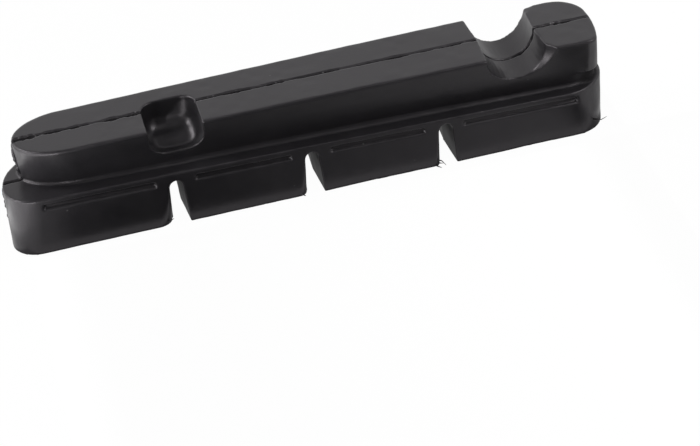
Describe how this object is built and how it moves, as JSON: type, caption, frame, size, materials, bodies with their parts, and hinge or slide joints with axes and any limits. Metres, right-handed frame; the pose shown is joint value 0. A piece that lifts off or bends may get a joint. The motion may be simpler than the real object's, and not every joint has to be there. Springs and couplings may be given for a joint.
{
  "type": "bicycle rim brake pad insert",
  "caption": "Moulded rubber brake pad insert with a slotted friction block, a dovetail rail that slides into a shoe, a half-round pin notch and a side pocket.",
  "frame": {"origin": "centre of the pad's outline in plan, on the friction face", "axes": "+X along the pad towards the pin notch, +Y across to the curved edge, +Z from the friction face to the back of the rail"},
  "size_m": [0.055, 0.01, 0.0098],
  "materials": {
    "rubber": "matt black moulded rubber compound with a rough friction face"
  },
  "bodies": {
    "root": {"brake_pad": "rubber"}
  },
  "joints": []
}
